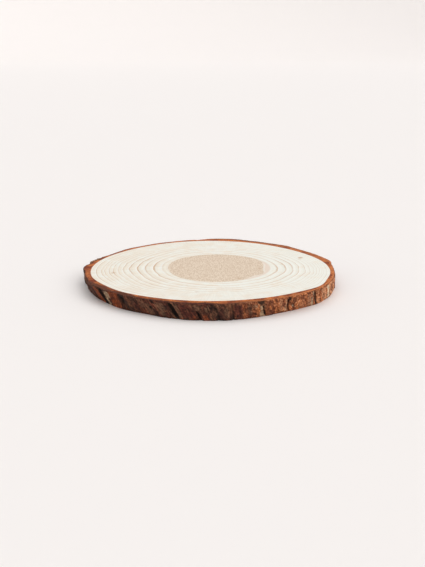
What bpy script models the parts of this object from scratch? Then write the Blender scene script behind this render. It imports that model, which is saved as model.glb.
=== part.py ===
"""A slice sawn across a young pine trunk with the bark left on, as one solid: it grew as one piece.

Lengths are in metres, angles in degrees and +Z is up. The origin is on the underside, at its middle.
Angles run anticlockwise seen from above: 0 is the right-hand side (+X) and -90 is the front (-Y).
Heights on the bark's wall run from 0 at its lower edge to 1 at its upper edge.
"""

import math
import random

import bmesh
import bpy
from mathutils import Vector, noise

# Driving dimensions
WOOD_RADIUS = 0.0716  # from the trunk's axis to the inside of the bark, averaged all round
THICKNESS = 0.010  # between the two sawn faces
BARK = 0.0038  # usual thickness of the bark
FRONT_DROP = 0.0004  # how far the bark's upper edge is worn down below the wood beside it, at the front
BACK_DROP = 0.0001  # and at the back
FOOT_DROP = 0.0001  # how far the bark's lower edge is worn up from the underside
EDGE_ROUNDING = 0.0003  # how far the bark's two outer edges are worn back
FOOT_WEAR = 0.0001  # how far the foot of the wall stands in from its top, everywhere

# The trunk isn't round. Each wave is (crests in one turn, height as a share of WOOD_RADIUS, angle of one)
TRUNK_WAVES = (
    (2, 0.0225, 0),
    (3, 0.0150, -30),
    (4, 0.0050, 0),
    (7, 0.0015, 12),
)

# Stretches where the wood reaches further into the bark, or less far: (middle, half its length, how far)
WOOD_BULGES = (
    (-148, 16, -0.0008),
    (-33, 15, 0.0017),
)

# Stretches where the bark is thicker or thinner than usual: (middle, half its length, extra thickness)
BARK_SWELLS = (
    (-90, 40, 0.0009),
    (-10, 22, -0.0012),
    (13, 9, 0.0012),
    (22, 16, 0.0010),
    (47, 10, 0.0010),
    (58, 56, 0.0026),
    (84, 18, 0.0027),
    (138, 10, 0.0010),
    (150, 40, -0.0008),
    (172, 14, 0.0010),
    (179, 9, 0.0014),
)

# Stretches where the wall leans in towards its foot: (middle, half its length, how far in)
UNDERCUTS = (
    (-142, 54, 0.0042),
    (-50, 38, 0.0030),
    (35, 40, 0.0012),
    (118, 55, 0.0018),
)

# The bark's grain leans, so a fissure's foot lies on from its top by this much: (angle, degrees on)
GRAIN_LEANS = (
    (-180, 3.0),
    (-147, 3.0),
    (-139, 0.0),
    (-131, 0.5),
    (-120, 3.0),
    (-107, 4.2),
    (-96, 3.0),
    (-82, 1.0),
    (-66, 2.2),
    (-54, 1.6),
    (-38, 2.6),
    (-25, 3.0),
    (30, 1.0),
    (110, 2.5),
    (180, 3.0),
)

# Fissures in the front of the bark: (angle at mid-height, half width, depth, lower end, upper end)
FRONT_FISSURES = (
    (-158.0, 0.0012, 0.0009, 0.35, 0.90),
    (-144.9, 0.0017, 0.0022, -0.10, 0.97),
    (-131.5, 0.0030, 0.0006, -0.10, 0.95),
    (-116.3, 0.0012, 0.0009, 0.35, 0.75),
    (-106.0, 0.0014, 0.0019, 0.05, 0.98),
    (-95.6, 0.0011, 0.0014, -0.10, 0.62),
    (-87.5, 0.0028, 0.0006, -0.10, 0.95),
    (-80.8, 0.0010, 0.0007, -0.10, 0.95),
    (-68.2, 0.0014, 0.0013, 0.80, 1.05),
    (-66.2, 0.0010, 0.0012, -0.10, 0.78),
    (-53.8, 0.0010, 0.0012, -0.10, 0.97),
    (-37.4, 0.0010, 0.0013, -0.10, 1.00),
    (-28.4, 0.0010, 0.0008, -0.10, 0.90),
)
FISSURE_END = 0.15  # share of the wall's height over which a fissure runs out

# Fissures in the sides and back: where they start and stop, and how far apart, wide and deep they are
BACK_STRETCH = (-18.0, 192.0)
BACK_SPACING = (9.0, 18.0)
BACK_HALF_WIDTHS = (0.0010, 0.0019)
BACK_DEPTHS = (0.0008, 0.0020)
BACK_ENDS = ((-0.10, 0.95), (-0.10, 0.60), (0.30, 0.94), (-0.10, 0.95))
SEED = 7

# The low swellings of the bark's plates: (size of a swelling round the trunk, its height)
PLATE_RELIEF = (
    (0.0085, 0.00060),
    (0.0032, 0.00028),
)
PLATE_STRETCH = 2.2  # plates are this much longer along the trunk than round it

# Mesh fineness
COLUMNS = 460
ROWS = 8

SHARP_ANGLE = 35  # edges that turn by more degrees than this stay crisp

WOOD_COLOUR = (0.863, 0.812, 0.716)
BARK_COLOUR = (0.152, 0.056, 0.030)


def clear_scene():
    for thing in list(bpy.data.objects):
        bpy.data.objects.remove(thing)


def material(name, colour, roughness):
    made = bpy.data.materials.new(name)
    made.use_nodes = True
    shader = made.node_tree.nodes["Principled BSDF"]
    shader.inputs["Base Color"].default_value = (*colour, 1.0)
    shader.inputs["Roughness"].default_value = roughness
    shader.inputs["Metallic"].default_value = 0.0
    made.diffuse_color = (*colour, 1.0)
    return made


def bump(angle, middle, half_length):
    """1 at the middle, falling smoothly to 0 at half_length to either side. All three are in degrees."""
    away = abs((angle - middle + 180) % 360 - 180)
    if away >= half_length:
        return 0.0
    return math.cos(math.pi / 2 * away / half_length) ** 2


def arc_degrees(length):
    """The angle that an arc of this length takes up on the wood's edge."""
    return math.degrees(length / WOOD_RADIUS)


def trunk_radius(angle):
    """The trunk's slow waves, which the wood and the bark both follow."""
    share = sum(
        height * math.cos(math.radians(crests * (angle - crest)))
        for crests, height, crest in TRUNK_WAVES
    )
    return WOOD_RADIUS * (1 + share)


def cambium_radius(angle):
    """Where the wood ends and the bark begins."""
    return trunk_radius(angle) + sum(out * bump(angle, middle, half) for middle, half, out in WOOD_BULGES)


def bark_radius(angle):
    """The outside of the bark at its upper edge, before its plates and fissures."""
    swollen = sum(extra * bump(angle, middle, half) for middle, half, extra in BARK_SWELLS)
    return trunk_radius(angle) + BARK + swollen


def undercut(angle):
    return FOOT_WEAR + sum(inward * bump(angle, middle, half) for middle, half, inward in UNDERCUTS)


def back_fissures():
    """Fissures of random width and depth for the sides and back, at a natural spacing."""
    draw = random.Random(SEED)
    fissures = []
    angle, stop = BACK_STRETCH
    while angle < stop:
        half_width = draw.uniform(*BACK_HALF_WIDTHS)
        depth = draw.uniform(*BACK_DEPTHS)
        lower, upper = draw.choice(BACK_ENDS)
        fissures.append((angle, half_width, depth, lower, upper))
        angle += draw.uniform(*BACK_SPACING)
    return fissures


def grain_lean(angle):
    """How far on the foot of the grain is that passes mid-height at this angle."""
    for (start, lean), (end, next_lean) in zip(GRAIN_LEANS, GRAIN_LEANS[1:]):
        if angle <= end:
            return lean + (next_lean - lean) * (angle - start) / (end - start)
    return GRAIN_LEANS[-1][1]


def follow_grain(angle, height):
    """The angle, at this height, of the grain that passes mid-height at the given angle."""
    return angle + grain_lean(angle) * (0.5 - height)


def edge_drop(angle):
    """How far the bark's upper edge is worn down at this angle, most at the front."""
    frontness = 0.5 - 0.5 * math.sin(math.radians(angle))
    return BACK_DROP + (FRONT_DROP - BACK_DROP) * frontness


def fissure_depth(fissures, grain, height):
    """How deep the bark is cracked on this line of grain, named by its angle at mid-height."""
    deepest = 0.0
    for middle, half_width, depth, lower, upper in fissures:
        across = bump(grain, middle, arc_degrees(half_width))
        along = min(height - lower, upper - height) / FISSURE_END
        deepest = max(deepest, depth * across * min(1.0, max(0.0, along)))
    return deepest


def plate_relief(grain, height):
    """Low swellings that follow the lean of the grain."""
    turn = math.radians(grain)
    relief = 0.0
    for size, amount in PLATE_RELIEF:
        place = Vector(
            (
                math.cos(turn) * WOOD_RADIUS / size,
                math.sin(turn) * WOOD_RADIUS / size,
                height * THICKNESS / (size * PLATE_STRETCH),
            )
        )
        relief += amount * noise.noise(place)
    return relief


def edge_wear(height):
    """The outer edges are rounded off within one row of the mesh."""
    return EDGE_ROUNDING * max(0.0, 1 - ROWS * min(height, 1 - height))


def wall_radius(fissures, grain, height):
    """How far the wall is from the trunk's axis on this line of grain."""
    angle = follow_grain(grain, height)
    worn = undercut(angle) * (1 - height) + edge_wear(height)
    relief = plate_relief(grain, height) - fissure_depth(fissures, grain, height)
    return bark_radius(angle) - worn + relief


def blank_log():
    """A plain cylinder with a loop on each end, for the cambium, and a wall that is divided into rows."""
    bpy.ops.mesh.primitive_cylinder_add(
        vertices=COLUMNS,
        radius=WOOD_RADIUS + BARK,
        depth=THICKNESS,
        location=(0, 0, 0),
    )
    log = bpy.context.object
    mesh = bmesh.new()
    mesh.from_mesh(log.data)
    ends = [face for face in mesh.faces if len(face.verts) == COLUMNS]
    uprights = [edge for edge in mesh.edges if abs(edge.verts[0].co.z - edge.verts[1].co.z) > THICKNESS / 2]
    bmesh.ops.inset_individual(mesh, faces=ends, thickness=BARK, use_even_offset=True)
    bmesh.ops.subdivide_edges(mesh, edges=uprights, cuts=ROWS - 1, use_grid_fill=True)
    return log, mesh


def shape_log(mesh, fissures):
    """Moves the blank's points to the trunk's outline, and paints the bark's faces.

    The wall's points wind with the grain, so that each fissure runs down a few columns of the mesh.
    """
    halfway_through_bark = WOOD_RADIUS + BARK / 2
    for vertex in mesh.verts:
        angle = math.degrees(math.atan2(vertex.co.y, vertex.co.x))
        height = vertex.co.z / THICKNESS + 0.5
        if vertex.co.to_2d().length < halfway_through_bark:
            radius = cambium_radius(angle)
            level = height * THICKNESS
        else:
            radius = wall_radius(fissures, angle, height)
            angle = follow_grain(angle, height)
            level = FOOT_DROP + height * (THICKNESS - FOOT_DROP - edge_drop(angle))
        turn = math.radians(angle)
        vertex.co = (radius * math.cos(turn), radius * math.sin(turn), level)
    for face in mesh.faces:
        face.material_index = 0 if len(face.verts) == COLUMNS else 1


def centre_on_box(mesh):
    """Puts the middle of the slice's outline over the origin."""
    across = [vertex.co.x for vertex in mesh.verts]
    along = [vertex.co.y for vertex in mesh.verts]
    middle = Vector(((min(across) + max(across)) / 2, (min(along) + max(along)) / 2, 0))
    bmesh.ops.translate(mesh, verts=mesh.verts, vec=-middle)


def wood_slice():
    log, mesh = blank_log()
    shape_log(mesh, [*FRONT_FISSURES, *back_fissures()])
    centre_on_box(mesh)
    mesh.to_mesh(log.data)
    mesh.free()
    log.name = "wood_slice"
    log.data.materials.append(material("sawn_pine", WOOD_COLOUR, 0.65))
    log.data.materials.append(material("pine_bark", BARK_COLOUR, 0.95))
    log.data.shade_smooth()
    log.data.set_sharp_from_angle(angle=math.radians(SHARP_ANGLE))
    return log


def collect(name, parts):
    home = bpy.data.collections.new(name)
    bpy.context.scene.collection.children.link(home)
    for part in parts:
        for held in list(part.users_collection):
            held.objects.unlink(part)
        home.objects.link(part)


clear_scene()
collect("wood_slice_with_bark", [wood_slice()])
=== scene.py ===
"""A slice sawn across a young pine trunk, with its growth rings, its heartwood and its bark, in a plain studio.

Lengths are in metres unless a name says millimetres, and +Z is up. Everything lies where the frame has it.
Angles run anticlockwise seen from above: 0 is the right-hand side (+X) and -90 is the front (-Y).
Heights on the bark's wall run from 0 at its foot to 1 at its sawn top.
"""

import math
import random

import bpy
import numpy as np
from bpy.props import FloatProperty, FloatVectorProperty, PointerProperty
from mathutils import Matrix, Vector, noise
from mathutils.bvhtree import BVHTree


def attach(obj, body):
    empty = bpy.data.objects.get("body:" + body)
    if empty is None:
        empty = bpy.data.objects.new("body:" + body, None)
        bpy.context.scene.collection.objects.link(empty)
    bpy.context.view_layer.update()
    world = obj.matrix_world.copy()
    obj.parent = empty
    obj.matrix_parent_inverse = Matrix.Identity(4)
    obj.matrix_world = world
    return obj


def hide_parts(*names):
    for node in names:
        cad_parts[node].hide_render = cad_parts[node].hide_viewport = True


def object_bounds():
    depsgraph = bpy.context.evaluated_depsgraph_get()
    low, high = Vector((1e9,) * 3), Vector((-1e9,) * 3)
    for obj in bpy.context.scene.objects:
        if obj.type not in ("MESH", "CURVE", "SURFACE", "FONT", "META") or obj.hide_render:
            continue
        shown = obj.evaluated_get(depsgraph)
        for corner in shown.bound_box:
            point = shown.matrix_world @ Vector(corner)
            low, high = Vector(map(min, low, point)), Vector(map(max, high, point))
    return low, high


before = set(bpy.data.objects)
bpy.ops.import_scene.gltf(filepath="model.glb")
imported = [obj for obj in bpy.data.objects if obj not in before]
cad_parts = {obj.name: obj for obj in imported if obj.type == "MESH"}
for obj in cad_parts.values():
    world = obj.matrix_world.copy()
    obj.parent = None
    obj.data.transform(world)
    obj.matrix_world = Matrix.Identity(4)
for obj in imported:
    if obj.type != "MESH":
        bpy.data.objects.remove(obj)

bl_info = {
    "name": "Pine Slice with Bark",
    "version": (1, 0, 0),
    "blender": (4, 5, 0),
    "location": "3D Viewport > Sidebar > Pine Slice",
    "description": "Builds a sawn pine slice with growth rings and bark, and a studio to see it in",
    "category": "Add Mesh",
}

CAD_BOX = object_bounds()

MM = 0.001
NODE = "wood_slice"
BODY = "root"

# The photo's frame, in pixels, and where the trunk's axis meets the top face in it
PHOTO_SIZE = (425, 567)
PHOTO_AXIS = (210.8, 267.3)
PHOTO_FOCAL = 805.0

# Each year's growth from the pith outwards, and how dark its late wood is: (width in mm, on the left, on the right)
YEARS = (
    (5.0, 0.10, 0.10),
    (5.0, 0.15, 0.15),
    (5.1, 0.10, 0.10),
    (5.0, 0.15, 0.15),
    (5.1, 0.15, 0.15),
    (4.9, 0.20, 0.20),
    (5.9, 0.25, 0.75),
    (5.0, 1.10, 0.80),
    (4.5, 0.50, 0.95),
    (3.9, 1.25, 0.70),
    (3.9, 0.85, 0.55),
    (3.2, 0.60, 0.40),
    (2.5, 0.45, 0.40),
    (2.3, 0.75, 0.50),
    (1.9, 0.70, 0.45),
    (2.0, 0.55, 0.40),
    (1.4, 0.65, 0.40),
    (2.7, 0.60, 0.50),
    (2.3, 0.10, 0.10),
)
# Rings younger than this share of the radius are round about the pith, and the later ones come to fit the bark
YOUNG_SHARE = 0.55
# Where the rings bulge out: (angle, half its length, share of the radius)
RING_BULGES = (
    (-9.0, 26.0, 0.022),
    (182.0, 20.0, 0.008),
    (100.0, 60.0, 0.020),
    (-80.0, 50.0, 0.015),
)
# How plain the late wood is round the trunk: (angle, share)
LATE_WOOD_ROUND = (
    (-130.0, 0.80),
    (-90.0, 0.55),
    (-30.0, 0.85),
    (0.0, 1.00),
    (40.0, 0.80),
    (90.0, 0.35),
    (140.0, 0.60),
    (180.0, 1.00),
)

# The heartwood's edge: its usual share of the wood's radius, and where it reaches further out than that:
# (angle from the pith, half its length, share of the radius)
HEART_SHARE = 0.442
HEART_LOBES = (
    (125.0, 85.0, 0.018),
    (-122.0, 60.0, 0.028),
)
# Where paler wood bites into the heartwood: (angle from the pith, half its length, how far in)
HEART_BITES = (
    (-6.0, 36.0, 0.064),
    (-45.0, 22.0, 0.044),
    (22.0, 26.0, 0.020),
)

# Small marks on the top face, measured from the trunk's axis: (right mm, back mm, radius mm, how dark)
MARKS = (
    (-59.2, -12.6, 1.5, 0.60),
    (58.3, 24.0, 1.7, 0.75),
    (57.3, 20.6, 1.2, 0.45),
    (30.4, -2.9, 1.1, 0.55),
    (16.8, -24.9, 1.0, 0.50),
    (-8.0, -52.0, 1.2, 0.30),
    (-13.6, -39.5, 0.8, 0.25),
    (18.0, 52.0, 0.7, 0.25),
    (41.0, -30.0, 0.6, 0.20),
)

# The bark's grain leans, so its foot lies on from its top by this much: (angle, degrees on)
GRAIN_LEANS = (
    (-180.0, 3.0),
    (-147.0, 3.0),
    (-139.0, 0.0),
    (-131.0, 0.5),
    (-120.0, 3.0),
    (-107.0, 4.2),
    (-96.0, 3.0),
    (-82.0, 1.0),
    (-66.0, 2.2),
    (-54.0, 1.6),
    (-38.0, 2.6),
    (-25.0, 3.0),
    (30.0, 1.0),
    (110.0, 2.5),
)

# The strings in the bark lean further than its fissures, by this many degrees round the trunk over its height
FIBRE_LEAN = 2.2

# Places on the bark's wall, by what shows there: (angle at mid-height, half width mm, lower and upper end, strength)
PATCHES = {
    "rust": (
        (-149.2, 2.8, -0.1, 0.95, 0.95),
        (-136.6, 3.6, -0.1, 1.05, 0.85),
        (-122.6, 0.6, -0.1, 0.90, 0.50),
        (-109.6, 1.2, 0.20, 0.60, 0.30),
        (-97.8, 1.0, -0.1, 0.35, 0.45),
        (-92.9, 1.6, -0.1, 0.40, 0.55),
        (-75.0, 1.6, 0.00, 0.95, 0.40),
        (-61.0, 2.0, 0.00, 0.60, 0.35),
    ),
    # The freshly bared places from -34 to -15 degrees are partly painted light that brightens the right end
    "fresh_and_painted_light": (
        (-57.0, 2.2, 0.05, 0.95, 0.40),
        (-47.0, 2.6, 0.00, 0.70, 0.20),
        (-42.0, 1.2, 0.00, 0.90, 0.40),
        (-34.0, 3.4, -0.1, 0.95, 0.60),
        (-30.0, 2.4, -0.1, 0.95, 0.65),
        (-25.8, 2.4, 0.02, 0.95, 1.00),
        (-21.0, 2.6, -0.1, 1.00, 1.00),
        (-15.0, 2.6, -0.1, 1.00, 0.90),
    ),
    "maroon": (
        (-124.0, 1.8, 0.10, 0.70, 0.60),
        (-99.8, 3.4, 0.10, 0.95, 0.85),
        (-85.0, 1.8, -0.1, 0.90, 0.50),
        (-78.2, 2.8, -0.1, 0.95, 0.80),
        (-63.6, 2.4, -0.1, 1.00, 0.80),
        (-50.5, 1.2, 0.55, 0.95, 0.50),
    ),
    "brown": (
        (-121.0, 2.6, 0.35, 1.00, 0.60),
        (-117.6, 2.0, 0.05, 0.80, 0.60),
        (-111.0, 3.0, 0.10, 0.95, 0.75),
        (-103.8, 0.9, 0.10, 0.95, 0.75),
        (-95.0, 1.6, 0.55, 0.95, 0.75),
        (-91.6, 0.8, 0.45, 0.85, 0.60),
        (-83.8, 1.4, 0.10, 0.95, 0.45),
        (-73.4, 1.6, 0.20, 0.90, 0.45),
        (-70.8, 1.0, 0.55, 0.85, 0.70),
        (-67.0, 2.0, 0.45, 1.00, 0.75),
    ),
    "pale": (
        (-140.9, 1.6, 0.45, 0.95, 0.75),
        (-142.2, 1.2, -0.1, 0.55, 1.00),
        (-67.8, 1.3, -0.1, 0.40, 0.80),
        (-67.7, 0.7, 0.30, 0.75, 0.80),
        (-69.8, 0.6, 0.60, 0.85, 0.50),
        (-55.6, 0.9, 0.05, 0.90, 0.50),
        (-48.2, 0.4, 0.25, 0.36, 0.90),
        (-40.2, 0.9, -0.1, 0.60, 0.90),
        (-39.3, 0.8, 0.62, 1.00, 0.70),
        (-25.8, 2.4, 0.02, 0.92, 0.55),
    ),
    "bleached": (
        (-51.8, 0.5, 0.26, 0.46, 1.00),
        (-26.4, 1.4, 0.05, 0.95, 0.85),
        (-19.0, 0.7, 0.50, 0.85, 0.80),
    ),
    # The dark places are partly the bark's own dark and partly painted shade, most of all just below the rim
    "dark": (
        (-153.0, 0.8, -0.1, 0.70, 0.50),
        (-146.4, 1.1, -0.1, 0.97, 1.00),
        (-132.0, 2.6, 0.40, 1.05, 0.80),
        (-129.5, 1.6, -0.1, 0.50, 0.60),
        (-122.8, 0.7, -0.1, 0.95, 0.50),
        (-116.4, 1.0, 0.40, 0.65, 0.85),
        (-114.4, 1.0, 0.78, 1.20, 1.00),
        (-97.0, 0.9, -0.1, 0.16, 0.80),
        (-88.6, 1.5, 0.60, 1.00, 0.70),
        (-86.6, 2.2, -0.1, 0.16, 0.80),
        (-84.6, 1.0, 0.00, 0.80, 0.35),
        (-80.8, 0.5, -0.1, 0.95, 0.60),
        (-78.9, 0.8, 0.10, 0.30, 0.70),
        (-70.9, 0.7, 0.16, 0.34, 0.80),
        (-67.1, 1.9, 0.76, 1.20, 1.00),
        (-66.6, 0.55, 0.10, 0.74, 0.95),
        (-53.2, 1.0, 0.66, 1.05, 0.90),
        (-46.5, 1.0, 0.80, 0.96, 1.00),
        (-33.4, 0.9, 0.82, 0.98, 0.80),
    ),
}
# The stretch that the photo doesn't show gets patches of the same kinds
UNSEEN_BARK = (-14.0, 196.0)
UNSEEN_SEED = 4

# How far the outer crust has worn off the bark: (angle, share)
WORN_BARK = (
    (-150.0, 0.10),
    (-90.0, 0.00),
    (-82.0, 0.10),
    (-74.0, 0.45),
    (-62.0, 0.65),
    (-35.0, 0.85),
    (-5.0, 1.00),
    (35.0, 0.60),
    (80.0, 0.15),
    (140.0, 0.10),
)

# The cut through the bark: (angle, how much of it is orange inner bark before the dark crust, how light that is)
BARK_CUT = (
    (-172.0, 0.90, -0.10),
    (-157.0, 0.80, -0.20),
    (-149.0, 0.35, -0.35),
    (-143.0, 0.25, -0.30),
    (-139.0, 0.45, -0.20),
    (-132.0, 0.00, -0.30),
    (-127.0, 0.25, -0.10),
    (-121.0, 0.60, 0.05),
    (-108.0, 0.50, -0.05),
    (-97.0, 0.65, 0.10),
    (-91.0, 0.35, 0.00),
    (-84.0, 0.80, 0.05),
    (-73.0, 0.45, -0.15),
    (-60.0, 0.75, 0.05),
    (-45.0, 0.35, -0.05),
    (-25.0, 0.40, 0.10),
    (0.0, 0.75, 0.25),
    (17.0, 0.70, -0.25),
    (35.0, 0.65, 0.05),
    (71.0, 0.60, 0.40),
    (95.0, 0.95, 0.50),
    (140.0, 0.80, 0.40),
    (161.0, 0.80, 0.00),
)

# Scales that lie loose on the wall: how many, and the ranges of their half sizes in mm
LOOSE_SCALES = 34
SCALE_WIDTHS = (0.6, 1.4)
SCALE_LENGTHS = (1.2, 3.0)
SCALE_SEED = 12
# The big scale that has sprung away from the rim: its ends, its foot, how far it stands off and its thickness
SPRUNG_SCALE = (158.5, 174.5)
SPRUNG_FOOT = 0.30
SPRUNG_GAP_MM = 1.5
SPRUNG_THICKNESS_MM = 0.9

# Meshes
WOOD_COLUMNS = 400
TOP_STATIONS = 140
UNDER_STATIONS = 56
BARK_COLUMNS = 1400
WALL_ROWS = 40
RIM_ROWS = 9
UNDER_RIM_ROWS = 5
CORE_ROWS = 3

# The bark's flat layout: how many lengths it is cut into, and the gap round each as a share of its sides
LAYOUT_NAME = "OFBake"
LAYOUT_LENGTHS = 5
LAYOUT_GAPS = (0.004, 0.03)

# Sockets of Blender's Mix node when it mixes colours
MIX_FACTOR, MIX_A, MIX_B, MIX_RESULT = 0, 6, 7, 2


def linear(hex_colour):
    """The linear colour of an sRGB hex value."""
    channels = [int(hex_colour[place : place + 2], 16) / 255 for place in (0, 2, 4)]
    return tuple(c / 12.92 if c <= 0.04045 else ((c + 0.055) / 1.055) ** 2.4 for c in channels)


def smooth_step(low, high, values):
    share = np.clip((values - low) / (high - low), 0, 1)
    return share * share * (3 - 2 * share)


def bump(angles, middle, half_length):
    """1 at the middle, falling smoothly to 0 at half_length to either side. All three are in degrees."""
    away = np.abs((angles - middle + 180) % 360 - 180) / half_length
    return np.where(away < 1, np.cos(np.minimum(away, 1) * np.pi / 2) ** 2, 0)


def noise_at(points):
    """Blender's Perlin noise, from about -1 to 1, at each row of an array of points."""
    flat = points.reshape(-1, 3)
    return np.fromiter((noise.noise(point) for point in flat.tolist()), float, len(flat)).reshape(points.shape[:-1])


def round_trunk(table, angles, column=1):
    """The value at each angle, from a table that runs right round and whose first column is its angles."""
    columns = list(zip(*table))
    return np.interp(angles, columns[0], columns[column], period=360)


def spread_round(values, steps):
    """A running mean round the trunk, over this many columns to either side."""
    return sum(np.roll(values, step, axis=-1) for step in range(-steps, steps + 1)) / (2 * steps + 1)


def highest_round(values, steps):
    return np.max([np.roll(values, step, axis=-1) for step in range(-steps, steps + 1)], axis=0)


class Trunk:
    """The slice's outline and wall, measured from the frame's solid."""

    LEVEL_TOLERANCE = 0.00002

    def __init__(self, node):
        points = np.array([vertex.co for vertex in node.data.vertices])
        self.foot, self.top = points[:, 2].min(), points[:, 2].max()
        self.thickness = self.top - self.foot
        loop = points[points[:, 2] > self.top - self.LEVEL_TOLERANCE][:, :2]
        middle = loop.mean(axis=0)
        order = np.argsort(np.arctan2(*(loop - middle).T[::-1]))
        self.axis = self.centroid(loop[order])
        across, along = (loop - self.axis).T
        angles = np.degrees(np.arctan2(along, across))
        order = np.argsort(angles)
        self.loop_angles = angles[order]
        self.loop_radii = np.hypot(across, along)[order]
        self.radius = float(self.cambium(np.arange(0, 360, 1.0)).mean())
        self.tree = BVHTree.FromObject(node, bpy.context.evaluated_depsgraph_get())

    @staticmethod
    def centroid(loop):
        """The middle of the area inside a closed loop of points."""
        beside = np.roll(loop, -1, axis=0)
        cross = loop[:, 0] * beside[:, 1] - beside[:, 0] * loop[:, 1]
        return ((loop + beside) * cross[:, None]).sum(axis=0) / (3 * cross.sum())

    def cambium(self, angles):
        """How far the wood's edge is from the axis."""
        return np.interp(angles, self.loop_angles, self.loop_radii, period=360)

    def wall(self, angles, levels):
        """How far the bark's wall is from the axis at each pair of an angle and a level."""
        reached = np.empty(angles.shape)
        for place in np.ndindex(angles.shape):
            turn = math.radians(angles[place])
            start = Vector((*self.axis, levels[place]))
            hit = self.tree.ray_cast(start, Vector((math.cos(turn), math.sin(turn), 0)))[0]
            if hit is None:
                raise RuntimeError(f"the frame's wall has a hole at {angles[place]:.1f} degrees")
            reached[place] = (hit - start).length
        return reached

    def point(self, angles, radii, levels):
        """Points in the frame, from angles and radii about the axis."""
        turns = np.radians(angles)
        return np.stack(
            [self.axis[0] + radii * np.cos(turns), self.axis[1] + radii * np.sin(turns), levels + 0 * turns],
            axis=-1,
        )


TRUNK = Trunk(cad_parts[NODE])


def add_node(tree, kind, settings=(), links=()):
    """Adds a node. Settings are its properties and the values of its sockets, and links are what feeds them."""
    node = tree.nodes.new(kind)
    for name, value in dict(settings).items():
        if isinstance(name, str) and hasattr(node, name):
            setattr(node, name, value)
        else:
            node.inputs[name].default_value = value
    for name, (source, output) in dict(links).items():
        tree.links.new(source.outputs[output], node.inputs[name])
    return node


def new_material(name):
    """A material with an empty node tree and its output."""
    made = bpy.data.materials.new(name)
    made.use_nodes = True
    tree = made.node_tree
    tree.nodes.clear()
    return made, tree, tree.nodes.new("ShaderNodeOutputMaterial")


def opaque(colour):
    return (*tuple(colour)[:3], 1.0)


def grid_faces(rows, columns, closed):
    """The faces of a grid whose columns run right round, and whose rows also join up if it is closed."""
    row = np.arange(rows if closed else rows - 1)[:, None]
    column = np.arange(columns)[None, :]
    beside = (column + 1) % columns
    above = (row + 1) % rows
    corners = (
        row * columns + column,
        above * columns + column,
        above * columns + beside,
        row * columns + beside,
    )
    return np.stack(corners, axis=-1).reshape(-1, 4)


def new_piece(name, points, faces, fields, materials):
    """A mesh object that rides on the slice's body. Fields are values or vectors for each of its points."""
    mesh = bpy.data.meshes.new(name)
    mesh.from_pydata(points.tolist(), [], faces)
    for label, values in fields.items():
        vector = values.ndim == 2
        layer = mesh.attributes.new(label, "FLOAT_VECTOR" if vector else "FLOAT", "POINT")
        layer.data.foreach_set("vector" if vector else "value", values.astype(np.float32).ravel())
    for made in materials:
        mesh.materials.append(made)
    mesh.shade_smooth()
    mesh.set_sharp_from_angle(angle=math.radians(50))
    piece = bpy.data.objects.new(name, mesh)
    bpy.context.scene.collection.objects.link(piece)
    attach(piece, BODY)
    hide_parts(NODE)
    return piece


# The wood


def heart_edge(angles):
    """The heartwood's edge as a share of the wood's mean radius, measured from the pith."""
    return HEART_SHARE + sum(reach * bump(angles, middle, half) for middle, half, reach in HEART_LOBES)


def heart_bite(angles):
    return sum(depth * bump(angles, middle, half) for middle, half, depth in HEART_BITES)


def ring_fields(ages, bearings):
    """The year at each age, and the darkness of its late wood at each age and bearing."""
    widths, left, right = np.array(YEARS).T
    edges = np.concatenate([[0], np.cumsum(widths)]) / widths.sum()
    years = np.interp(ages, edges, np.arange(len(edges)))
    own_year = np.minimum(years.astype(int), len(YEARS) - 1)
    rightness = 0.5 + 0.5 * np.cos(np.radians(bearings))[None]
    return years, left[own_year][:, None] * (1 - rightness) + right[own_year][:, None] * rightness


def ring_waver(ages, direction, bearings):
    """How far each ring strays from its usual distance, as a share of it."""
    across = direction[None] + 0 * ages[:, None, None]
    up = ages[:, None, None] + 0 * direction[None, :, :1]
    waver = 0.016 * noise_at(np.concatenate([across * 2.2, up * 3.0], axis=-1))
    waver += 0.009 * noise_at(np.concatenate([across * 7.0, up * 8.0], axis=-1))
    waver += 0.006 * noise_at(np.concatenate([across * 17.0, up * 20.0], axis=-1))
    middle_ages = (smooth_step(0.2, 0.5, ages) * (1 - smooth_step(0.7, 1.0, ages)))[:, None]
    bulges = sum(share * bump(bearings, middle, half) for middle, half, share in RING_BULGES)
    return waver * (1 - smooth_step(0.9, 1.0, ages))[:, None] + middle_ages * bulges[None]


def ring_points(wood, ages, angles):
    """Where each age's ring lies on each ray from the pith to the wood's edge, how far out, and the rays' angles."""
    edge = TRUNK.point(angles, TRUNK.cambium(angles), 0.0)[:, :2]
    pith = TRUNK.axis + np.array([wood.pith_right, wood.pith_back])
    rays = edge - pith
    reach = np.hypot(*rays.T)
    direction = rays / reach[:, None]
    bearings = np.degrees(np.arctan2(direction[:, 1], direction[:, 0]))
    fitted = (np.clip((ages - YOUNG_SHARE) / (1 - YOUNG_SHARE), 0, 1) ** 1.2)[:, None]
    distance = ages[:, None] * ((1 - fitted) * TRUNK.radius + fitted * reach)
    distance *= 1 + ring_waver(ages, direction, bearings)
    return pith + distance[..., None] * direction[None], distance, bearings


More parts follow.
